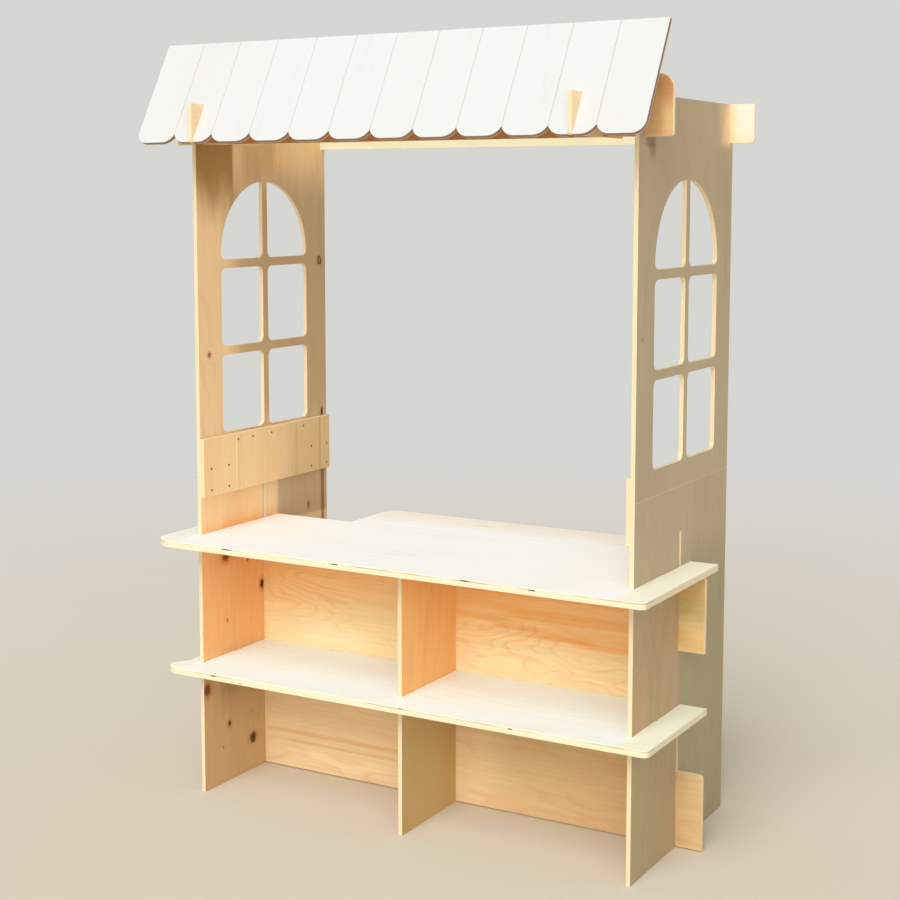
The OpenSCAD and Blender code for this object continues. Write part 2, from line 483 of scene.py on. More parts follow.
class Sheet:
    """One plywood sheet of the stall: a node of the frame with its own plywood material.

    Attributes:
        FACE_ROUGHNESS: Roughness of the sanded faces.
        EDGE_ROUGHNESS: How much rougher the sawn edges are.
        GROOVE_START: Depth below the face at which the painted shade in grooves begins.
        LINE_PROFILE: Strength of the grain's line over one growth ring.
        PORE_DEPTH: Depth of the pores in a face.
        LINE_DEPTH: Depth of the grain's lines in a face.
        SAW_DEPTH: Depth of the saw's marks in an edge.
        GLUE_DEPTH: Depth of the glue lines in an edge.
        VOID_DEPTH: Depth of the gaps in the core plies.
        KNOT_PULL: Growth lines by which the figure bends round a knot.
        WELD: Distance within which the node's loose triangles are joined.
        FLAT_ANGLE: Angle in degrees below which neighbouring triangles are one face.
        SHARP_ANGLE: Angle in degrees above which an edge is eased.
    """

    FACE_ROUGHNESS = 0.62
    EDGE_ROUGHNESS = 0.16
    GROOVE_START = 0.0004
    LINE_PROFILE = ((0.0, 0.05), (0.5, 0.16), (0.84, 1.0), (0.94, 0.08))
    PORE_DEPTH = 0.00004
    LINE_DEPTH = 0.00003
    SAW_DEPTH = 0.00008
    GLUE_DEPTH = 0.00005
    VOID_DEPTH = 0.0006
    KNOT_PULL = 1.7
    WELD = 0.00002
    FLAT_ANGLE = 0.5
    SHARP_ANGLE = 40.0

    def __init__(
        self,
        node: str,
        lay: Lay,
        veneer: Veneer,
        edge: PlyEdge = PlyEdge(),
        knots: Sequence[Knot] = (),
        stains_and_painted_light: Sequence[StainAndPaintedLight] = (),
        gaps: Sequence[Gap] = (),
        arris: float = ARRIS,
        skin: float = 0.00012,
    ) -> None:
        """Take up a node of the frame.

        Args:
            node: Name of the node.
            lay: How the sheet lies.
            veneer: Finish of its faces.
            edge: Finish of its edges.
            knots: Knots in the face that points the way of the lay's third vector.
            stains_and_painted_light: Stained patches, painted light and painted shade in that face.
            gaps: Gaps that open in its edges.
            arris: Width to which its edges are eased.
            skin: Depth down to which the face veneer's colour shows.
        """
        self.node = node
        self.lay = lay
        self.veneer = veneer
        self.edge = edge
        self.knots = knots
        self.stains_and_painted_light = stains_and_painted_light
        self.gaps = gaps
        self.arris = arris
        self.skin = skin
        self.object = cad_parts[node]
        through = Vector(lay.value[2])
        depths = [through.dot(vertex.co) for vertex in self.object.data.vertices]
        self.middle = (min(depths) + max(depths)) / 2
        self.half = (max(depths) - min(depths)) / 2

    def dress(self) -> None:
        """Give the sheet its eased edges and its material."""
        self._ease_edges()
        self.object.data.materials.clear()
        self.object.data.materials.append(self._material())
        LOG.info("%s: %.1f mm plywood", self.node, self.half * 2000)

    def _ease_edges(self) -> None:
        """Round the arrises as sandpaper does."""
        weld = self.object.modifiers.new("weld", "WELD")
        weld.merge_threshold = self.WELD
        flat = self.object.modifiers.new("flat faces", "DECIMATE")
        flat.decimate_type = "DISSOLVE"
        flat.angle_limit = math.radians(self.FLAT_ANGLE)
        flat.delimit = {"NORMAL"}
        ease = self.object.modifiers.new("eased arrises", "BEVEL")
        ease.width = self.arris
        ease.segments = 2
        ease.limit_method = "ANGLE"
        ease.angle_limit = math.radians(self.SHARP_ANGLE)
        ease.harden_normals = False
        ease.use_clamp_overlap = True
        shade = self.object.modifiers.new("even shading", "WEIGHTED_NORMAL")
        shade.keep_sharp = True
        shade.weight = 80

    def _material(self) -> bpy.types.Material:
        """Build the sheet's plywood: two veneered faces and the plies of its edges."""
        tree = PlyTree(self.node + "_plywood", self.lay, self.middle)
        face_colour, face_height = self._face(tree)
        edge_colour, edge_height = self._edge(tree)
        is_edge = abs(tree.through) < self.half - self.skin
        # Painted shade in grooves: what lies below the face is darkened.
        groove_shaded = tree.tinted(face_colour, self.veneer.groove_shade)
        sunk = abs(tree.through) < self.half - self.GROOVE_START
        colour = tree.mix_colour(is_edge, tree.mix_colour(sunk, face_colour, groove_shaded), edge_colour)
        height = face_height + is_edge * (edge_height - face_height)
        roughness = self.FACE_ROUGHNESS + is_edge * self.EDGE_ROUGHNESS
        tree.surface(colour, roughness, height, Specular_IOR_Level=0.35)
        return tree.owner

    def _face(self, tree: PlyTree) -> tuple[Any, Expr]:
        """Build the veneer of the faces, and give its colour and height."""
        look = self.veneer
        side = tree.front * 7.3 + look.seed
        distances, knot_pull = self._knot_fields(tree)
        drift = tree.field(1.1, 2.6, side, 1.0) - 0.5
        bent = tree.across + drift * (look.wander * 0.35)
        spot = tree.vector(tree.along * look.run, bent * (0.62 / look.wander), side + 3.1)
        rings = tree.noise(spot, look.curl, 0.42) * look.rings + knot_pull
        line = tree.curve(rings.apply("FRACT"), self.LINE_PROFILE)
        spread = tree.field(1.7, 5.0, side + 9.4)
        line_strength = line * tree.step(spread, 0.3, 0.72) * look.figure
        band = tree.noise(tree.vector(tree.along * 0.7, bent * 3.4, side + 5.7), 2.5, 0.6)
        band_strength = tree.step(band, 0.34, 0.7) * look.bands
        coarse = tree.field(2.6, 95.0, side + 1.7, 2.0, 0.6)
        fine = tree.field(9.0, 520.0, side + 2.9, 2.0, 0.7)
        streak = (coarse * 0.6 + fine * 0.4 - 0.5) * look.streaks
        colour = tree.mix_colour(band_strength, look.pale, look.warm)
        colour = tree.mix_colour(line_strength, colour, look.line)
        colour = tree.shaded(colour, streak * 0.55 + 1.0)
        colour = tree.tinted(colour, tree.mix_colour(tree.front, look.far_tint, look.near_tint))
        colour = tree.mix_colour(self._pin_knots(tree, side) * look.pins, colour, look.pin)
        colour = self._stain_and_light_colours(tree, colour)
        colour = self._knot_colours(tree, colour, distances)
        return colour, fine * self.PORE_DEPTH - line_strength * self.LINE_DEPTH

    @staticmethod
    def _pin_knots(tree: PlyTree, side: Expr) -> Expr:
        """Scatter pin knots over the face, each a tiny dark oval."""
        spot = tree.vector(tree.along * 3.1, tree.across * 4.3, side)
        inputs = {"Vector": spot, "Scale": 1.0, "Randomness": 1.0}
        cells = tree.node("ShaderNodeTexVoronoi", {"voronoi_dimensions": "3D"}, inputs)
        return tree.step(Expr(tree, cells.outputs["Distance"]), 0.026, 0.012)

    def _knot_fields(self, tree: PlyTree) -> tuple[list[Expr], Value]:
        """Measure how far each knot is, in its half widths, and its pull on the grain's lines."""
        distances = []
        pull: Value = 0.0
        if self.knots:
            wobble = tree.field(90.0, 90.0, 0.4, 1.0) - 0.5
        for knot in self.knots:
            first = (tree.along - knot.along) / knot.length
            second = (tree.across - knot.across) / knot.width
            distance = (first * first + second * second) ** 0.5 + wobble * 0.5
            distances.append(distance)
            pull = 2.718 ** (distance * distance * -0.16) * tree.front * self.KNOT_PULL + pull
        return distances, pull

    def _stain_and_light_colours(self, tree: PlyTree, colour: Any) -> Any:
        """Lay the stained patches, the painted light and the painted shade over the veneer's colour."""
        if not self.stains_and_painted_light:
            return colour
        waver = tree.field(5.0, 14.0, self.veneer.seed) - 0.5
        for each_patch in self.stains_and_painted_light:
            spans = (
                (tree.along, each_patch.along, each_patch.length, each_patch.soft[0]),
                (tree.across, each_patch.across, each_patch.width, each_patch.soft[1]),
            )
            mask = tree.front
            for place, middle, reach, soft in spans:
                distance = abs(place - middle) / reach + waver * soft * 0.8
                mask = mask * tree.step(distance, 1.0 + soft / 2, 1.0 - soft / 2)
            colour = tree.mix_colour(mask, colour, tree.tinted(colour, each_patch.tint))
        return colour

    def _knot_colours(self, tree: PlyTree, colour: Any, distances: Sequence[Expr]) -> Any:
        """Lay the knots, their rims and the brown wood round them over the veneer's colour."""
        for knot, distance in zip(self.knots, distances):
            halo = tree.step(distance, 2.6, 0.8) * tree.front * knot.halo
            colour = tree.mix_colour(halo, colour, tree.tinted(colour, self.veneer.scorch))
            heart = tree.step(distance, 1.15, 0.45) * tree.front * knot.depth
            colour = tree.mix_colour(heart, colour, knot.tint)
            rim = tree.step(abs(distance - 0.9), 0.34, 0.05) * tree.front * knot.ring
            colour = tree.mix_colour(rim, colour, tuple(part * 0.3 for part in knot.tint))
        return colour

    def _edge(self, tree: PlyTree) -> tuple[Any, Expr]:
        """Build the plies that show on a cut edge, and give their colour and height."""
        look = self.edge
        count = 2 * round(self.half / look.ply - 0.5) + 1
        ply = 2 * self.half / count
        waver = tree.field(9.0, 9.0, self.veneer.seed, 1.0) - 0.5
        depth = (tree.through + self.half + waver * 0.0003) / ply
        layer = depth.apply("FLOOR")
        odd = layer.apply("MODULO", 2.0)
        rough = tree.field(130.0, 130.0, depth * 3.0, 3.0, 0.7) - 0.5
        band = tree.field(6.0, 6.0, layer * 3.7) - 0.5
        colour = tree.mix_colour(odd * look.contrast, look.long_grain, look.end_grain)
        colour = tree.shaded(colour, 1.0 + band * 0.22 + rough * 0.2)
        line = tree.step(abs(depth - layer - 0.5), 0.43, 0.5)
        colour = tree.mix_colour(line * (look.contrast * 0.7), colour, look.glue)
        inner = abs(layer - (count - 1) / 2) < (count / 2 - 1.2)
        gaps = tree.field(13.0, 13.0, layer * 5.3 + self.veneer.seed, 1.0)
        void = tree.step(gaps, 0.83 - 0.08 * look.voids, 0.86 - 0.08 * look.voids) * inner * odd
        broken = tree.step(tree.field(5.0, 5.0, 4.4, 3.0, 0.6), 0.44, 0.58)
        seam = tree.step(abs(tree.through - self.half + look.seam_depth), 0.0016, 0.0006)
        colour = tree.mix_colour(seam * broken * look.seam, colour, look.seam_tone)
        for gap in self.gaps:
            first = (tree.along - gap.along) / gap.length
            second = (tree.across - gap.across) / gap.length
            third = (tree.through - gap.through) / gap.height
            distance = (first * first + second * second + third * third) ** 0.5 + rough * 0.9
            void = tree.clamp(tree.step(distance, 1.2, 0.7) + void)
        colour = tree.mix_colour(void, colour, look.void)
        height = rough * self.SAW_DEPTH - line * self.GLUE_DEPTH - void * self.VOID_DEPTH
        return colour, height


def behind_front(marks: Sequence[Union[Knot, StainAndPaintedLight]]) -> list[Any]:
    """Place marks that are measured from the side panels' front edge."""
    return [replace(mark, across=PANEL_FRONT + mark.across) for mark in marks]


@dataclass
class SidePanels:
    """The two side panels: each is a lower and an upper sheet with splice plates over the seam.

    Knots, stained patches and painted light are given by their height over the floor and their distance
    behind the front edge.

    Attributes:
        veneer: Finish of the inner faces, whose strong orange is partly painted warm bounce light.
        outer_shade: Painted shade on the outer faces, a grey tint that stands in for the dim light there.
        plate_arris: Width to which the splice plates' edges are eased.
        left_lower_knots: Knots of the left lower sheet.
        left_upper_knots: Knots of the left upper sheet.
        left_lower_stains_and_shade: Painted shade behind the counter's back edge, under the counter, under
            the shelf and in the lower compartment, painted light from the counter at the front above it,
            painted warm bounce light in the upper compartment, and dark streaks by a knot and by the rear
            edge.
        left_upper_stains_and_shade: Painted shadow of the awning, its bracket and the front header at the
            top front, painted shade towards the back, and a darker, warmer patch at the top.
        left_front_plate_light: Painted light from the counter, which makes the narrow left splice plate
            slightly paler.
        left_plate_stains_and_shade: Pale joint, painted light from the counter towards the front, painted
            shade at the back end past the counter's back edge, and thin darker lines of the left splice
            plate.
        right_upper_painted_light: Painted shadow under the front header's end and painted warm light by the
            back header's end.
        right_lower_stains_and_shade: Painted shade behind the tabs, and pinker and darker patches at the
            front.
    """

    KNOT = srgb(112, 60, 28)
    BLACK_KNOT = srgb(48, 28, 14)
    DARK_KNOT = srgb(84, 44, 28)
    RED_KNOT = srgb(112, 56, 42)
    BROWN_KNOT = srgb(142, 66, 26)

    # Partly painted light: the inner faces' orange stands in for warm bounce light.
    veneer: Veneer = Veneer(pale=srgb(250, 212, 160), warm=srgb(242, 194, 136), figure=0.14, rings=13.0)
    # Painted shade: the outer faces are tinted grey for the dim light they get.
    outer_shade: Colour = (0.56, 0.66, 0.80)
    plate_arris: float = 0.0016

    left_lower_knots: tuple[Knot, ...] = (
        Knot(0.778, 0.550, 0.011, 0.005, 0.8, 0.3, KNOT),
        Knot(0.776, 0.306, 0.010, 0.004, 0.8, 0.3, KNOT),
        Knot(0.572, 0.294, 0.013, 0.009, 1.0, 0.6, BLACK_KNOT, 0.8),
        Knot(0.692, 0.113, 0.015, 0.015, 1.0, 0.35, BROWN_KNOT, 0.8),
        Knot(0.660, 0.222, 0.004, 0.004, 0.8, 0.0, KNOT),
        Knot(0.495, 0.118, 0.005, 0.003, 0.9, 0.2, KNOT),
        Knot(0.306, 0.016, 0.017, 0.013, 0.9, 0.5, RED_KNOT, 0.8),
        Knot(0.175, 0.122, 0.010, 0.008, 1.0, 0.3, DARK_KNOT, 0.3),
        Knot(0.099, 0.239, 0.017, 0.016, 1.0, 0.5, DARK_KNOT, 0.3),
        Knot(0.184, 0.235, 0.006, 0.006, 0.2, 0.0, KNOT, 0.1),
    )
    left_upper_knots: tuple[Knot, ...] = (
        Knot(1.559, 0.622, 0.013, 0.011, 0.6, 0.9, KNOT, 0.2),
        Knot(1.301, 0.049, 0.007, 0.007, 0.7, 0.5, KNOT),
        Knot(1.071, 0.630, 0.014, 0.006, 1.0, 0.6, BLACK_KNOT, 0.3),
    )
    left_lower_stains_and_shade: tuple[StainAndPaintedLight, ...] = (
        # Painted shade behind the counter's back edge, above the counter.
        StainAndPaintedLight(0.90, 0.53, 0.15, 0.15, (0.66, 0.68, 0.74), (0.1, 0.15)),
        StainAndPaintedLight(0.83, 0.306, 0.055, 0.003, (0.86, 0.66, 0.46), (0.5, 1.0)),
        StainAndPaintedLight(0.80, 0.631, 0.09, 0.009, (0.56, 0.40, 0.28), (0.2, 0.6)),
        # Painted light from the counter, paler at the front above it.
        StainAndPaintedLight(0.90, 0.13, 0.125, 0.16, (1.06, 1.0, 0.96), (0.1, 0.4)),
        # Painted warm bounce light in the upper compartment.
        StainAndPaintedLight(0.59, 0.10, 0.20, 0.30, (1.03, 0.80, 0.62), (0.3, 0.4)),
        # Painted shade under the counter.
        StainAndPaintedLight(0.73, 0.20, 0.06, 0.14, (0.95, 0.78, 0.58), (1.3, 0.8)),
        # Painted shade in the lower compartment.
        StainAndPaintedLight(0.17, 0.20, 0.21, 0.30, (0.70, 0.68, 0.67), (0.2, 0.6)),
        # Painted shade under the shelf.
        StainAndPaintedLight(0.33, 0.23, 0.07, 0.16, (0.74, 0.76, 0.70), (1.0, 0.8)),
    )
    left_upper_stains_and_shade: tuple[StainAndPaintedLight, ...] = (
        # Painted shadow of the awning, the bracket and the front header.
        StainAndPaintedLight(1.93, 0.06, 0.17, 0.115, (0.46, 0.37, 0.18), (0.9, 0.12)),
        # Painted shade towards the back of the panel.
        StainAndPaintedLight(1.43, 0.46, 0.40, 0.29, (0.60, 0.61, 0.63), (0.6, 0.6)),
        StainAndPaintedLight(1.96, 0.30, 0.12, 0.09, (0.84, 0.78, 0.66), (0.8, 0.5)),
    )
    left_front_plate_light: tuple[StainAndPaintedLight, ...] = (
        # Painted light from the counter on the front plate.
        StainAndPaintedLight(0.97, 0.08, 0.2, 0.2, (1.05, 1.06, 1.04)),
    )
    left_plate_stains_and_shade: tuple[StainAndPaintedLight, ...] = (
        StainAndPaintedLight(0.97, 0.158, 0.2, 0.0022, (1.30, 1.42, 1.60), (0.1, 0.6)),
        # Painted shade at the back end, past the counter's back edge.
        StainAndPaintedLight(0.97, 0.58, 0.2, 0.17, (0.84, 0.86, 0.80), (0.1, 0.9)),
        # Painted light from the counter, towards the front.
        StainAndPaintedLight(0.97, 0.22, 0.2, 0.05, (1.04, 1.06, 1.08), (0.1, 0.9)),
        StainAndPaintedLight(0.97, 0.47, 0.2, 0.006, (0.90, 0.90, 0.82), (0.1, 0.9)),
        StainAndPaintedLight(0.97, 0.60, 0.2, 0.006, (0.86, 0.84, 0.76), (0.1, 0.9)),
    )
    right_upper_painted_light: tuple[StainAndPaintedLight, ...] = (
        # Painted shadow cast by the front header's end.
        StainAndPaintedLight(1.897, 0.072, 0.013, 0.032, (0.68, 0.62, 0.52), (1.2, 0.9)),
        StainAndPaintedLight(1.875, 0.085, 0.018, 0.020, (0.76, 0.72, 0.62), (1.6, 1.3)),
        # Painted warm light by the back header's end.
        StainAndPaintedLight(1.96, 0.657, 0.058, 0.075, (1.85, 1.62, 1.50), (0.6, 1.6)),
    )
    right_lower_stains_and_shade: tuple[StainAndPaintedLight, ...] = (
        # Painted shade behind the tabs.
        StainAndPaintedLight(0.38, 0.49, 0.42, 0.18, (0.80, 0.84, 0.78), (0.4, 0.2)),
        StainAndPaintedLight(0.57, 0.12, 0.20, 0.20, (1.0, 0.90, 0.80), (0.4, 0.4)),
        StainAndPaintedLight(0.48, 0.05, 0.10, 0.06, (1.06, 0.98, 0.96), (0.9, 0.9)),
        StainAndPaintedLight(0.17, 0.12, 0.21, 0.20, (0.90, 0.88, 0.81), (0.4, 0.4)),
    )

    def sheets(self) -> list[Sheet]:
        """List the sheets and the splice plates of both panels."""
        marks = {
            "left_side_lower": (self.left_lower_knots, self.left_lower_stains_and_shade),
            "left_side_upper": (self.left_upper_knots, self.left_upper_stains_and_shade),
            "left_splice_front": ((), self.left_front_plate_light),
            "left_splice_back": ((), self.left_plate_stains_and_shade),
            "right_side_lower": ((), self.right_lower_stains_and_shade),
            "right_side_upper": ((), self.right_upper_painted_light),
        }
        parts = (("side_lower", 0.0, ARRIS), ("side_upper", 3.0, ARRIS))
        parts += (("splice_front", 6.0, self.plate_arris), ("splice_back", 8.0, self.plate_arris))
        made = []
        for side, seed in (("left", 11.0), ("right", 31.0)):
            for part, step, arris in parts:
                node = f"{side}_{part}"
                knots, stains_and_painted_light = (behind_front(group) for group in marks.get(node, ((), ())))
                veneer = self._tone(seed + step, side)
                made.append(Sheet(node, Lay.SIDE, veneer, knots=knots, stains_and_painted_light=stains_and_painted_light, arris=arris))
        return made

    def _tone(self, seed: float, side: str) -> Veneer:
        """Give the panels' veneer with another pattern, and painted shade on the side that faces out."""
        tints = {"near_tint" if side == "right" else "far_tint": self.outer_shade}
        return replace(self.veneer, seed=seed, **tints)


@dataclass
class Boards:
    """The counter, the shelf and the divider between them.

    Attributes:
        ROUND_ARRIS: Width to which the counter's and the shelf's edges are eased.
        level_veneer: Finish of the counter's faces, whose near white is partly painted light.
        divider_veneer: Finish of the divider's faces, whose strong orange is partly painted warm bounce
            light.
        thick_edge: Finish of the counter's and the shelf's cut edges.
        divider_painted_light: Painted shade at the divider's foot and painted warm shade at its top, under
            the counter.
        counter_gaps: Core gaps in the counter's front edge.
        shelf_gaps: Core gaps in the shelf's front edge.
        counter_grain_and_light: Grain of the counter's leaf, and painted light on its wings, which are
            tinted yellower.
        shelf_wings: Painted light on the shelf's wings, which are tinted warmer.
    """

    ROUND_ARRIS = 0.0010

    # Partly painted light: the level boards are near white, for the strong light on their tops.
    level_veneer: Veneer = Veneer(
        pale=srgb(254, 255, 252), warm=srgb(252, 250, 240), line=srgb(232, 210, 172), figure=0.2, seed=51.0,
        streaks=0.22,
    )
    # Partly painted light: the divider's orange stands in for warm bounce light.
    divider_veneer: Veneer = Veneer(
        pale=srgb(252, 194, 126), warm=srgb(246, 172, 98), figure=0.2, seed=57.0
    )
    thick_edge: PlyEdge = PlyEdge(srgb(244, 236, 204), srgb(234, 214, 172), voids=0.9, seam=0.75)
    divider_painted_light: tuple[StainAndPaintedLight, ...] = (
        # Painted shade in the lower compartment.
        StainAndPaintedLight(0.17, -0.10, 0.21, 0.20, (0.64, 0.81, 0.92), (0.2, 0.4)),
        # Painted warm shade under the counter.
        StainAndPaintedLight(0.74, -0.10, 0.07, 0.20, (0.96, 0.82, 0.66), (1.4, 0.4)),
    )
    counter_gaps: tuple[Gap, ...] = (
        Gap(-0.497, -0.3705, 0.0062, 0.017),
        Gap(-0.133, -0.3705, 0.0050, 0.012),
        Gap(0.271, -0.3705, 0.0066, 0.016),
        Gap(0.464, -0.3705, 0.0048, 0.011),
    )
    shelf_gaps: tuple[Gap, ...] = (Gap(-0.578, -0.3345, 0.0040, 0.010), Gap(0.385, -0.3345, 0.0050, 0.007))
    counter_grain_and_light: tuple[StainAndPaintedLight, ...] = (
        StainAndPaintedLight(0.10, 0.345, 0.60, 0.115, (1.0, 0.935, 0.85), (0.5, 0.7)),
        StainAndPaintedLight(0.05, 0.330, 0.45, 0.012, (1.0, 0.96, 0.92), (0.8, 1.4)),
        StainAndPaintedLight(0.15, 0.385, 0.40, 0.010, (1.0, 0.95, 0.90), (0.8, 1.4)),
        StainAndPaintedLight(-0.02, 0.275, 0.034, 0.004, (0.88, 0.82, 0.72), (0.8, 1.0)),
        StainAndPaintedLight(0.03, 0.198, 0.026, 0.003, (0.90, 0.86, 0.76), (0.8, 1.0)),
        # Painted light on the counter's wings beyond the panels.
        StainAndPaintedLight(0.78, -0.10, 0.09, 0.50, (1.0, 0.97, 0.84), (0.2, 0.1)),
        StainAndPaintedLight(-0.78, -0.10, 0.09, 0.50, (1.0, 0.98, 0.90), (0.2, 0.1)),
    )
    shelf_wings: tuple[StainAndPaintedLight, ...] = (
        # Painted light on the shelf's wings beyond the panels.
        StainAndPaintedLight(0.78, -0.10, 0.09, 0.50, (1.07, 0.99, 0.80), (0.2, 0.1)),
        StainAndPaintedLight(-0.78, -0.10, 0.09, 0.50, (1.07, 0.99, 0.88), (0.2, 0.1)),
    )

    def sheets(self) -> list[Sheet]:
        """List the counter, the shelf and the divider."""
        # Painted light: the shelf's faces are near white as well.
        pale, warm = srgb(245, 254, 254), srgb(243, 250, 248)
        shelf_veneer = replace(self.level_veneer, pale=pale, warm=warm, seed=54.0)
        made = []
        for node, veneer, stains_and_painted_light, gaps in (
            ("counter", self.level_veneer, self.counter_grain_and_light, self.counter_gaps),
            ("shelf", shelf_veneer, self.shelf_wings, self.shelf_gaps),
        ):
            marks = {"stains_and_painted_light": stains_and_painted_light, "gaps": gaps}
            made.append(Sheet(node, Lay.LEVEL, veneer, self.thick_edge, arris=self.ROUND_ARRIS, **marks))
        made.append(Sheet("centre_divider", Lay.SIDE, self.divider_veneer, stains_and_painted_light=self.divider_painted_light))
        return made


@dataclass
class BackBoards:
    """The two back boards, whose tabs hook into the side panels."""

    upper_veneer: Veneer = Veneer(
        pale=srgb(249, 211, 150), warm=srgb(246, 184, 116), line=srgb(233, 150, 84), figure=0.5, rings=19.0,
        wander=0.085, run=1.9, curl=2.8, seed=71.0, streaks=0.75,
    )
    lower_veneer: Veneer = Veneer(
        pale=srgb(240, 206, 158), warm=srgb(230, 184, 132), line=srgb(214, 150, 96), figure=0.4, rings=14.0,
        wander=0.09, run=1.5, curl=2.4, seed=75.0, streaks=0.7,
    )

    upper_stains_and_shade: tuple[StainAndPaintedLight, ...] = (
        # Painted shadow of the counter's wing on the upper tab.
        StainAndPaintedLight(0.74, 0.72, 0.08, 0.09, (0.70, 0.74, 0.68), (0.1, 0.8)),
        StainAndPaintedLight(0.74, 0.60, 0.08, 0.08, (0.84, 0.90, 0.88), (0.1, 0.8)),
        # Painted shade at the top, under the counter, and painted light at the bottom, from the shelf.
        StainAndPaintedLight(0.0, 0.73, 0.68, 0.13, (0.99, 0.80, 0.63), (0.1, 1.4)),
        StainAndPaintedLight(0.0, 0.40, 0.68, 0.10, (1.0, 1.12, 1.34), (0.1, 1.5)),
        StainAndPaintedLight(-0.41, 0.44, 0.12, 0.035, (1.04, 1.10, 1.16), (0.9, 0.8)),
        StainAndPaintedLight(0.30, 0.66, 0.32, 0.022, (0.97, 0.84, 0.70), (0.5, 0.8)),
        StainAndPaintedLight(0.42, 0.59, 0.26, 0.016, (0.97, 0.82, 0.66), (0.5, 0.8)),
        StainAndPaintedLight(0.09, 0.564, 0.10, 0.007, (0.97, 0.82, 0.66), (0.8, 1.2)),
        StainAndPaintedLight(0.21, 0.547, 0.08, 0.008, (0.97, 0.80, 0.62), (0.8, 1.2)),
        StainAndPaintedLight(0.34, 0.531, 0.10, 0.008, (0.97, 0.78, 0.58), (0.8, 1.2)),
        StainAndPaintedLight(0.50, 0.522, 0.11, 0.008, (0.97, 0.76, 0.56), (0.8, 1.2)),
        StainAndPaintedLight(0.46, 0.541, 0.14, 0.018, (0.98, 0.88, 0.76), (0.8, 1.2)),
        StainAndPaintedLight(0.19, 0.455, 0.12, 0.030, (1.03, 1.07, 1.10), (0.9, 1.2)),
    )
    upper_eyes: tuple[Knot, ...] = (
        Knot(0.375, 0.418, 0.030, 0.008, 0.0, 0.0, halo=0.0),
        Knot(-0.150, 0.432, 0.034, 0.010, 0.0, 0.0, halo=0.0),
    )
    lower_stains_and_shade: tuple[StainAndPaintedLight, ...] = (
        # Painted shade on the lower tab, under the shelf's wing.
        StainAndPaintedLight(0.74, 0.10, 0.08, 0.30, (0.86, 0.86, 0.80), (0.1, 0.3)),
        # Painted shade under the shelf.
        StainAndPaintedLight(-0.20, 0.33, 0.47, 0.05, (0.84, 0.86, 0.80), (0.1, 0.9)),
        StainAndPaintedLight(0.40, 0.33, 0.26, 0.06, (0.82, 0.86, 0.80), (0.1, 0.9)),
        # Painted light at the foot.
        StainAndPaintedLight(0.0, 0.07, 0.68, 0.10, (1.03, 1.05, 1.08), (0.1, 1.4)),
        StainAndPaintedLight(0.42, 0.18, 0.27, 0.22, (0.85, 0.82, 0.74), (0.5, 0.5)),
        StainAndPaintedLight(-0.42, 0.116, 0.27, 0.006, (0.96, 0.82, 0.68), (0.4, 1.2)),
        StainAndPaintedLight(-0.38, 0.088, 0.20, 0.005, (0.95, 0.84, 0.72), (0.4, 1.2)),
        StainAndPaintedLight(-0.36, 0.214, 0.28, 0.012, (1.04, 1.06, 1.08), (0.4, 1.4)),
        StainAndPaintedLight(-0.40, 0.045, 0.16, 0.020, (1.05, 1.08, 1.12), (0.9, 1.2)),
        StainAndPaintedLight(0.24, 0.227, 0.22, 0.010, (0.94, 0.96, 0.92), (0.5, 1.3)),
        StainAndPaintedLight(0.25, 0.043, 0.20, 0.016, (1.04, 1.04, 1.08), (0.8, 1.3)),
    )

    def sheets(self) -> list[Sheet]:
        """List the two back boards."""
        lay, eyes = Lay.CROSSWISE, self.upper_eyes
        return [
            Sheet("lower_back_board", lay, self.lower_veneer, stains_and_painted_light=self.lower_stains_and_shade),
            Sheet("upper_back_board", lay, self.upper_veneer, knots=eyes, stains_and_painted_light=self.upper_stains_and_shade),
        ]


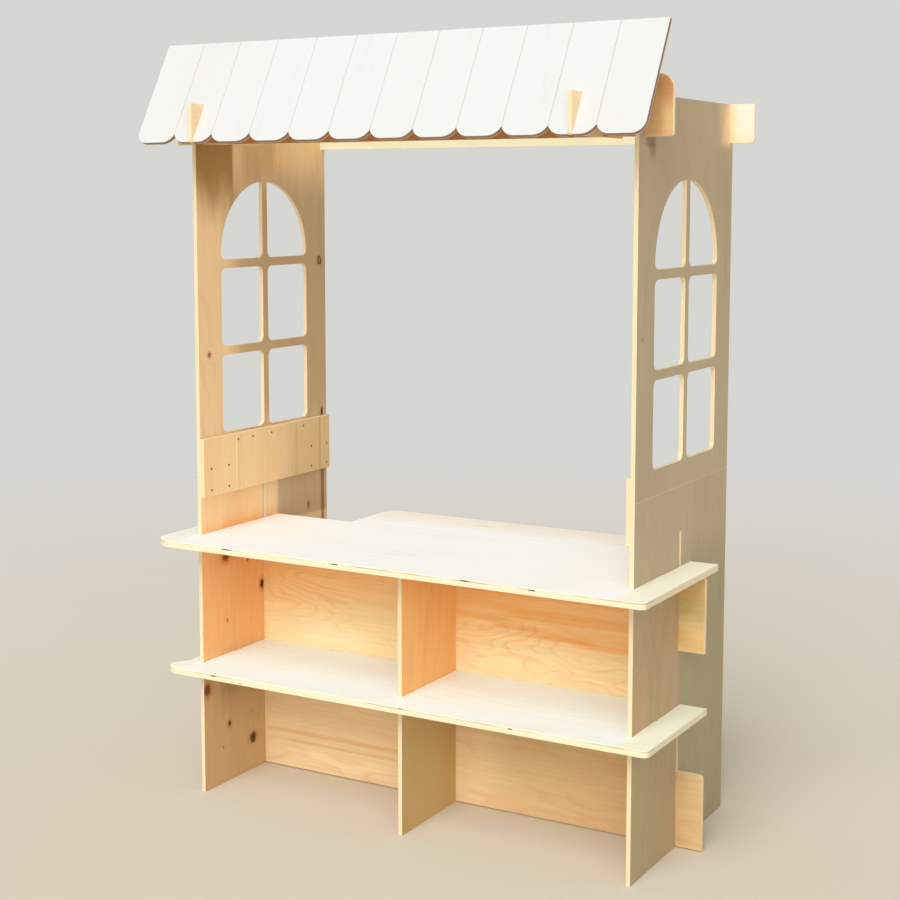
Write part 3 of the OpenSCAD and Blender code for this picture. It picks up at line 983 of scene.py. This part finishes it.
@dataclass
class Canopy:
    """The two headers, the two brackets and the scalloped awning that they carry."""

    header_veneer: Veneer = Veneer(
        pale=srgb(240, 214, 156), warm=srgb(228, 188, 128), figure=0.4, seed=91.0
    )
    # Paler than the other edges: partly painted light on the headers' edges.
    header_edge_painted_light: PlyEdge = PlyEdge(srgb(255, 244, 214), srgb(250, 230, 190), contrast=0.4)
    pale_veneer: Veneer = Veneer(
        pale=srgb(234, 229, 207), warm=srgb(232, 220, 192), line=srgb(218, 190, 146), figure=0.2, seed=93.0
    )
    # Paler than the other veneers: partly painted light on the bracket noses.
    nose_veneer: Veneer = Veneer(pale=srgb(255, 228, 182), warm=srgb(248, 208, 156), figure=0.3, seed=95.0)
    # Dark brown cut edges: partly the cut edge's own brown, partly painted shade on the scallops' lower
    # edges.
    awning_edge_and_shade: PlyEdge = PlyEdge(srgb(164, 130, 98), srgb(134, 102, 76), contrast=0.5, voids=0.2)
    header_painted_light: tuple[StainAndPaintedLight, ...] = (
        # Painted shade behind the awning, along the whole header.
        StainAndPaintedLight(0.0, 1.98, 0.68, 0.10, (0.72, 0.42, 0.26), (0.03, 0.05)),
        # Painted shade and painted light on the header's free end, with a painted highlight at its lower
        # right.
        StainAndPaintedLight(0.73, 1.98, 0.045, 0.08, (0.85, 0.69, 0.66), (0.2, 0.4)),
        StainAndPaintedLight(0.73, 2.04, 0.05, 0.04, (0.94, 0.80, 0.70), (0.4, 1.4)),
        StainAndPaintedLight(0.755, 1.95, 0.020, 0.040, (1.22, 1.32, 1.42), (1.4, 1.2)),
        StainAndPaintedLight(0.745, 1.99, 0.022, 0.010, (1.06, 0.94, 0.92), (1.2, 1.2)),
    )
    # Painted shade under the awning's edge on the left bracket.
    bracket_painted_shade: tuple[StainAndPaintedLight, ...] = (StainAndPaintedLight(-0.28, 1.92, 0.08, 0.035, (0.62, 0.36, 0.20), (0.4, 0.3)),)
    back_header_stains_and_glow: tuple[StainAndPaintedLight, ...] = (
        # Painted warm light on the back header's end, by the panel.
        StainAndPaintedLight(0.696, 1.97, 0.013, 0.07, (1.0, 0.88, 0.70), (1.8, 0.4)),
        StainAndPaintedLight(0.728, 1.915, 0.05, 0.012, (1.0, 0.95, 0.86), (0.6, 1.4)),
        StainAndPaintedLight(0.0, 1.96, 0.66, 0.08, (1.0, 1.02, 0.88), (0.03, 0.1)),
    )
    awning_veneer: Veneer = Veneer(
        pale=srgb(214, 215, 215), warm=srgb(212, 211, 206), line=srgb(196, 188, 166), figure=0.12,
        streaks=0.07, seed=97.0, pins=0.0,
    )

    def sheets(self) -> list[Sheet]:
        """List the headers, the brackets and the awning."""
        lay, edge = Lay.CROSSWISE, self.header_edge_painted_light
        return [
            Sheet("front_header", lay, self.header_veneer, edge, stains_and_painted_light=self.header_painted_light),
            Sheet("back_header", lay, self.pale_veneer, edge, stains_and_painted_light=self.back_header_stains_and_glow),
            Sheet("left_awning_bracket", Lay.BRACKET, self.nose_veneer, stains_and_painted_light=self.bracket_painted_shade),
            Sheet("right_awning_bracket", Lay.BRACKET, replace(self.nose_veneer, seed=96.0)),
            Sheet("awning", Lay.SLOPE, self.awning_veneer, self.awning_edge_and_shade, skin=0.0019),
        ]


class NodeGroup(NodeTree):
    """A Geometry Nodes tree with named inputs."""

    def __init__(self, name: str, inputs: Mapping[str, str]) -> None:
        """Start a tree that takes and gives geometry.

        Args:
            name: Name of the tree.
            inputs: Types of its other inputs by name.
        """
        super().__init__(bpy.data.node_groups.new(name, "GeometryNodeTree"))
        self.tree.interface.new_socket("Geometry", in_out="OUTPUT", socket_type="NodeSocketGeometry")
        self.identifiers: dict[str, str] = {}
        for label, kind in {"Geometry": "Geometry", **inputs}.items():
            socket = self.tree.interface.new_socket(label, in_out="INPUT", socket_type="NodeSocket" + kind)
            self.identifiers[label] = socket.identifier
        self.inputs = self.node("NodeGroupInput").outputs

    def make(self, name: str, base: bpy.types.Mesh, values: Mapping[str, Any]) -> bpy.types.Object:
        """Run the tree on a mesh and keep the result as a plain mesh.

        Args:
            name: Name of the finished piece.
            base: Mesh that the tree starts from.
            values: Values of the tree's inputs by name.

        Returns:
            The finished piece, at the origin.
        """
        carrier = add_object(name + "_base", base)
        modifier = carrier.modifiers.new("tree", "NODES")
        modifier.node_group = self.tree
        for key, value in values.items():
            modifier[self.identifiers[key]] = value
        graph = bpy.context.evaluated_depsgraph_get()
        mesh = bpy.data.meshes.new_from_object(carrier.evaluated_get(graph))
        carrier.modifiers.remove(modifier)
        bpy.data.objects.remove(carrier)
        mesh.name = name
        return add_object(name, mesh)


@dataclass
class SpliceScrews:
    """The countersunk screws that hold the splice plates.

    Attributes:
        head: Radius of a screw's head.
        rise: How far the head's crown stands proud of the plate.
        low_rows: Heights of the two rows in the lower sheet.
        top_row: Height of the row in the upper sheet.
        paired: Distances of the paired screws behind the panel's front edge.
        single: Distances of the top row's screws behind the panel's front edge.
        steel: Colour of the plating.
        SKIRT: Height of the head's lower rim, inside the wood.
        PROFILE: Rings of the crown, as shares of the head's radius and rise.
        FACETS: Number of corners round the head.
        RECESS: Half length and half width of a bar of the cross, in radii of the head.
        TAPER: Share of its size that a bar keeps at its lower end.
        RECESS_FLOOR: Height of the recess's floor.
        SHADE_RING: Radius of the painted shade round a head, in radii of the head.
        SHADE_RING_LIFT: Height of the painted shade over the plate.
        SEED: Seed of the screws' random turns.
    """

    SKIRT = -0.0008
    PROFILE = ((1.0, 0.0), (0.9, 0.55), (0.6, 0.9), (0.25, 1.0))
    FACETS = 20
    RECESS = (0.55, 0.13)
    TAPER = 0.45
    RECESS_FLOOR = -0.0006
    SHADE_RING = 1.14
    SHADE_RING_LIFT = 0.00008
    SEED = 5

    head: float = 0.0031
    rise: float = 0.0006
    low_rows: tuple[float, float] = (0.905, 0.968)
    top_row: float = 1.039
    paired: tuple[float, ...] = (0.037, 0.120, 0.553, 0.639)
    single: tuple[float, ...] = (0.168, 0.242, 0.338, 0.510)
    steel: Colour = srgb(128, 88, 52)

    def build(self) -> None:
        """Make the screws of both sides, each side as one piece."""
        pattern = self._head_object()
        group = self._tree()
        steel = self._steel()
        shade = self._shade()
        for side, node in ((-1, "left_splice_back"), (1, "right_splice_back")):
            low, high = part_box(node)
            face = high.x if side < 0 else low.x
            points = self._points(face)
            turn = (0.0, math.radians(-90.0 * side), 0.0)
            values = {"Head": pattern, "Turn": turn, "Steel": steel, "Shade": shade}
            name = ("left" if side < 0 else "right") + "_splice_screws"
            piece = group.make(name, points, values)
            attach(piece, "root")
            LOG.info("%s: %d faces", name, len(piece.data.polygons))
        bpy.data.objects.remove(pattern)

    def _points(self, face: float) -> bpy.types.Mesh:
        """Set one point on the plate's face for each screw."""
        spots = [(y, z) for y in self.paired for z in self.low_rows]
        spots += [(y, self.top_row) for y in self.single]
        mesh = bpy.data.meshes.new("screw_points")
        mesh.from_pydata([(face, PANEL_FRONT + y, z) for y, z in spots], [], [])
        return mesh

    def _head_object(self) -> bpy.types.Object:
        """Turn a shallow domed head and cut its cross recess."""
        shape = bmesh.new()
        rings = [(1.0, self.SKIRT), *((part, self.rise * height) for part, height in self.PROFILE)]
        turns = [2 * math.pi * step / self.FACETS for step in range(self.FACETS)]
        loops = []
        for part, height in rings:
            wide = part * self.head
            spots = [(wide * math.cos(turn), wide * math.sin(turn), height) for turn in turns]
            loops.append([shape.verts.new(spot) for spot in spots])
        for below, above in zip(loops, loops[1:]):
            self._wall(shape, below, above)
        shape.faces.new(loops[-1])
        shape.faces.new(list(reversed(loops[0])))
        head = add_object("screw_head", keep_mesh("screw_head", shape))
        self._cut_cross(head)
        return head

    @staticmethod
    def _wall(shape: bmesh.types.BMesh, below: Sequence[Any], above: Sequence[Any]) -> None:
        """Join two loops of points with a ring of faces."""
        for step, corner in enumerate(below):
            after = (step + 1) % len(below)
            shape.faces.new((corner, below[after], above[after], above[step]))

    def _cut_cross(self, head: bpy.types.Object) -> None:
        """Cut the cross recess with two tapered bars."""
        bars = bmesh.new()
        corners = ((-1, -1), (1, -1), (1, 1), (-1, 1))
        wide, narrow = (self.head * share for share in self.RECESS)
        ceiling = Vector((0.0, 0.0, self.rise * 2))
        floor = Vector((0.0, 0.0, self.RECESS_FLOOR))
        for turn in (0.0, math.pi / 2):
            along = Vector((math.cos(turn), math.sin(turn), 0.0))
            across = Vector((-along.y, along.x, 0.0))
            top = [along * (a * wide) + across * (b * narrow) for a, b in corners]
            upper = [bars.verts.new(spot + ceiling) for spot in top]
            lower = [bars.verts.new(spot * self.TAPER + floor) for spot in top]
            bars.faces.new(upper)
            bars.faces.new(list(reversed(lower)))
            self._wall(bars, lower, upper)
        bmesh.ops.recalc_face_normals(bars, faces=bars.faces)
        cutter = add_object("cross", keep_mesh("cross", bars))
        cut = head.modifiers.new("cross", "BOOLEAN")
        cut.operation = "DIFFERENCE"
        cut.solver = "EXACT"
        cut.use_self = True
        cut.object = cutter
        graph = bpy.context.evaluated_depsgraph_get()
        finished = bpy.data.meshes.new_from_object(head.evaluated_get(graph))
        head.modifiers.remove(cut)
        head.data = finished
        bpy.data.objects.remove(cutter)

    def _tree(self) -> NodeGroup:
        """Build the tree that sets a head and the painted shade of its countersink at every point."""
        kinds = {"Head": "Object", "Turn": "Vector", "Steel": "Material", "Shade": "Material"}
        group = NodeGroup("screws", kinds)
        points = group.node("GeometryNodeMeshToPoints", None, {"Mesh": group.inputs["Geometry"]})
        head = group.node("GeometryNodeObjectInfo", None, {"Object": group.inputs["Head"]})
        # A dark disc round each head: painted shade of the countersink.
        circle = {"Vertices": 24, "Radius": self.head * self.SHADE_RING}
        ring = group.node("GeometryNodeMeshCircle", {"fill_type": "NGON"}, circle)
        lift = {"Geometry": ring.outputs[0], "Translation": (0.0, 0.0, self.SHADE_RING_LIFT)}
        lifted = group.node("GeometryNodeTransform", None, lift)
        parts = []
        for shape, material in ((head.outputs["Geometry"], "Steel"), (lifted.outputs[0], "Shade")):
            inputs = {"Points": points.outputs[0], "Instance": shape, "Rotation": group.inputs["Turn"]}
            placed = group.node("GeometryNodeInstanceOnPoints", None, inputs)
            span = {2: 0.0, 3: math.pi / 2, "Seed": self.SEED}
            spin = group.node("FunctionNodeRandomValue", {"data_type": "FLOAT"}, span)
            turn = group.node("ShaderNodeCombineXYZ", None, {2: spin.outputs[1]})
            inputs = {"Instances": placed.outputs[0], "Rotation": turn.outputs[0], "Local Space": True}
            turned = group.node("GeometryNodeRotateInstances", None, inputs)
            real = group.node("GeometryNodeRealizeInstances", None, {0: turned.outputs[0]})
            inputs = {"Geometry": real.outputs[0], "Material": group.inputs[material]}
            parts.append(group.node("GeometryNodeSetMaterial", None, inputs).outputs[0])
        joined = group.node("GeometryNodeJoinGeometry")
        for part in parts:
            group.tree.links.new(part, joined.inputs[0])
        group.node("NodeGroupOutput", None, {0: joined.outputs[0]})
        return group

    def _steel(self) -> bpy.types.Material:
        """Make the dull brass-coloured plating of the screws."""
        tree = ShaderTree(bpy.data.materials.new("screw_plating"))
        worn = tree.speckle(900.0, 3.0, 0.6)
        colour = tree.mix_colour(tree.step(worn, 0.35, 0.7), self.steel, srgb(92, 62, 38))
        tree.surface(colour, 0.35 + worn * 0.25, None, Metallic=0.7)
        return tree.owner

    @staticmethod
    def _shade() -> bpy.types.Material:
        """Make the painted shade of the countersink round a screw's head."""
        tree = ShaderTree(bpy.data.materials.new("countersink"))
        colour = tree.mix_colour(tree.speckle(700.0, 2.0), srgb(92, 58, 32), srgb(140, 98, 60))
        tree.surface(colour, 0.8, None)
        return tree.owner


@dataclass(frozen=True)
class Lamp:
    """A wide, soft lamp, far away.

    Attributes:
        name: Name of the lamp.
        level: Its level, where 1 renders a colour as it is written on a face turned to it.
        rise: Its height above the horizon, in degrees.
        turn: Its place to the right of the view from the front, in degrees.
        spread: Width of the lamp as the stall sees it, in degrees.
        colour: Colour of its light.
    """

    name: str
    level: float
    rise: float
    turn: float
    spread: float
    colour: Colour = (0.97, 0.99, 1.0)


@dataclass
class Studio:
    """The floor, the lamps and the camera round the stall.

    Attributes:
        paper: Colour that the camera sees behind the stall.
        ground: Colour of the floor round the stall.
        fade: Distances from the stall over which the floor turns into the paper's colour.
        floor_radius: Radius of the floor.
        eye: Place of the camera.
        yaw: Turn of the camera to the left of +Y, in degrees.
        pitch: Tilt of the camera below the horizon, in degrees.
        lens: Focal length, for a sensor 36 mm wide.
        shift: Shift of the camera's frame, in widths of the picture.
        sky: Level of the light from all round.
        sky_tone: Colour of the light from all round.
        lamps: The lamps.
        FLOOR_DROP: Distance of the floor below the feet.
        LAMP_DISTANCE: Distance of the lamps from the origin.
    """

    FLOOR_DROP = 0.0005
    LAMP_DISTANCE = 6.0

    paper: Colour = srgb(214, 214, 211)
    ground: Colour = srgb(222, 212, 196)
    fade: tuple[float, float] = (0.9, 7.0)
    floor_radius: float = 14.0
    eye: Point = (2.3154, -4.0396, 1.7594)
    yaw: float = 30.014
    pitch: float = 6.113
    lens: float = 66.39
    shift: tuple[float, float] = (0.0115, -0.0835)
    sky: float = 0.48
    sky_tone: Colour = srgb(255, 252, 246)
    lamps: tuple[Lamp, ...] = (
        Lamp("high_lamp", 0.57, 43.0, 6.0, 40.0),
        Lamp("low_lamp", 0.42, 14.0, 26.0, 60.0),
    )

    def build(self) -> None:
        """Make the floor, the sky, the lamps and the camera."""
        bpy.context.scene.view_settings.view_transform = "Standard"
        self._floor()
        self._sky()
        for lamp in self.lamps:
            self._lamp(lamp)
        self._camera()

    def _floor(self) -> None:
        """Lay a round pale floor that fades into the background far from the stall."""
        shape = bmesh.new()
        bmesh.ops.create_circle(shape, cap_ends=True, segments=96, radius=self.floor_radius)
        bmesh.ops.translate(shape, verts=shape.verts, vec=(0.0, 0.0, -self.FLOOR_DROP))
        floor = add_object("floor", keep_mesh("floor", shape))
        tree = ShaderTree(bpy.data.materials.new("floor"))
        fade = tree.step(tree.measure("LENGTH", tree.place()), *self.fade)
        shade = tree.node("ShaderNodeBsdfDiffuse", None, {"Color": self.ground})
        plain = tree.node("ShaderNodeEmission", None, {"Color": self.paper, "Strength": 1.0})
        self._end(tree, "Material", fade * self._seen(tree), shade, plain)
        floor.data.materials.append(tree.owner)

    @staticmethod
    def _end(
        tree: ShaderTree, output: str, factor: Expr, first: bpy.types.Node, second: bpy.types.Node
    ) -> None:
        """End a tree in a mix of two shaders.

        Args:
            tree: The tree to end.
            output: Kind of the output, Material or World.
            factor: Share of the second shader.
            first: The first shader.
            second: The second shader.
        """
        inputs = {0: factor, 1: first.outputs[0], 2: second.outputs[0]}
        mixed = tree.node("ShaderNodeMixShader", None, inputs)
        tree.node("ShaderNodeOutput" + output, None, {0: mixed.outputs[0]})

    @staticmethod
    def _seen(tree: ShaderTree) -> Expr:
        """Give 1 for the rays that show the background, straight or in metal and glass."""
        path = tree.node("ShaderNodeLightPath")
        kinds = ("Camera", "Glossy", "Transmission")
        rays = [Expr(tree, path.outputs[f"Is {kind} Ray"]) for kind in kinds]
        return tree.clamp(rays[0] + rays[1] + rays[2])

    def _sky(self) -> None:
        """Light the stall evenly from all round, and show the camera a plain pale background."""
        world = bpy.data.worlds.new("sky")
        bpy.context.scene.world = world
        tree = ShaderTree(world)
        light, paper = (
            tree.node("ShaderNodeBackground", None, {"Color": colour, "Strength": level})
            for colour, level in ((self.sky_tone, self.sky), (self.paper, 1.0))
        )
        self._end(tree, "World", self._seen(tree), light, paper)

    def _lamp(self, lamp: Lamp) -> None:
        """Hang one wide, soft lamp, far away."""
        light = bpy.data.lights.new(lamp.name, "SUN")
        light.energy = lamp.level * math.pi
        light.angle = math.radians(lamp.spread)
        light.color = lamp.colour
        hung = add_object(lamp.name, light)
        rise, turn = math.radians(lamp.rise), math.radians(lamp.turn)
        out = math.cos(rise)
        towards = Vector((math.sin(turn) * out, -math.cos(turn) * out, math.sin(rise)))
        hung.rotation_euler = towards.to_track_quat("Z", "Y").to_euler()
        hung.location = towards * self.LAMP_DISTANCE

    def _camera(self) -> None:
        """Set up the camera at the photograph's viewpoint."""
        data = bpy.data.cameras.new("camera")
        data.sensor_width = 36.0
        data.lens = self.lens
        data.shift_x, data.shift_y = self.shift
        data.clip_end = 60.0
        camera = add_object("camera", data)
        camera.location = self.eye
        camera.rotation_euler = (math.radians(90.0 - self.pitch), 0.0, math.radians(self.yaw))
        bpy.context.scene.camera = camera


def main() -> None:
    """Set up the studio, dress the stall's sheets, add the screws and note the sizes."""
    logging.basicConfig(level=logging.INFO, format="%(name)s %(message)s")
    Studio().build()
    for assembly in (SidePanels(), Boards(), BackBoards(), Canopy()):
        for sheet in assembly.sheets():
            sheet.dress()
    SpliceScrews().build()


if __name__ == "__main__":
    main()
